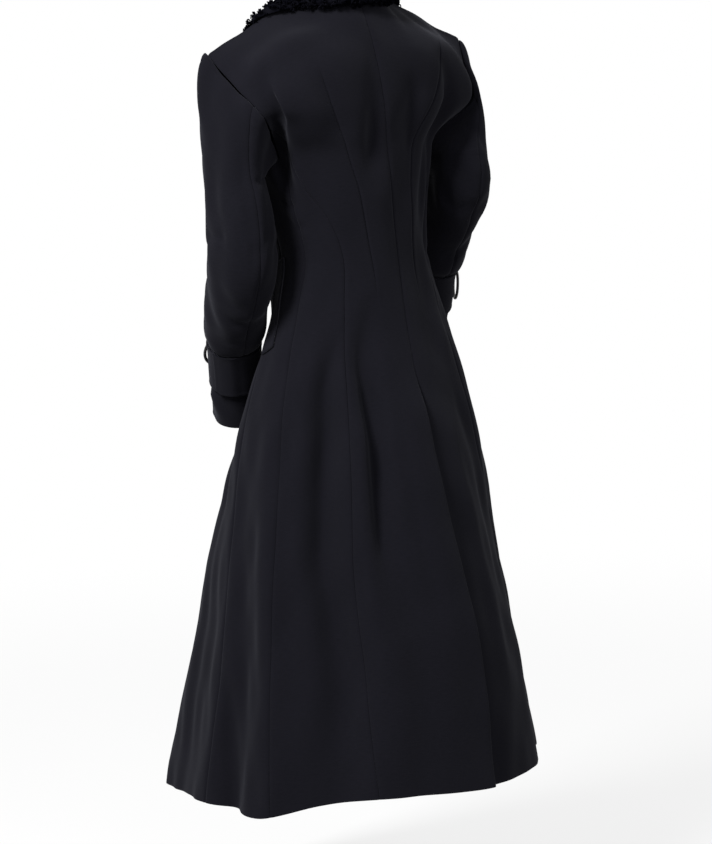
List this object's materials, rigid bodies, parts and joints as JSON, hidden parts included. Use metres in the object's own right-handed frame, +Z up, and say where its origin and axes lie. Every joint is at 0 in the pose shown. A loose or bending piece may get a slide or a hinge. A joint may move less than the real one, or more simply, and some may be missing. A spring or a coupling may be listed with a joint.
{
  "type": "trench coat",
  "caption": "Long fitted and flared coat with princess seams, a lapped back vent, strapped two-piece sleeves, slanted pocket welts and a curly fur collar.",
  "frame": {"origin": "centre of the neck, at the height of the centre-back neck seam, where the coat hangs from the wearer's neck and shoulders", "axes": "+Z up, -Y the way the wearer faces, +X the wearer's left"},
  "size_m": [0.61, 0.5994, 1.2776],
  "materials": {
    "wool": "matte black wool coating, slightly blue, with a faint fine horizontal rib",
    "fur": "short curly black fur, softly shining",
    "horn": "polished black",
    "ring": "polished black"
  },
  "bodies": {
    "root": {"back_left": "wool", "back_right": "wool", "side_back_left": "wool", "side_back_right": "wool", "side_left": "wool", "side_right": "wool", "front_left": "wool", "front_right": "wool", "top_sleeve_left": "wool", "top_sleeve_right": "wool", "under_sleeve_left": "wool", "under_sleeve_right": "wool", "pocket_welt_left": "wool", "pocket_welt_right": "wool", "sleeve_strap_left": "wool", "sleeve_strap_right": "wool", "fur_collar": "fur", "button_1": "horn", "button_2": "horn", "button_3": "horn", "button_4": "horn", "strap_ring_left": "ring", "strap_ring_right": "ring"}
  },
  "joints": []
}
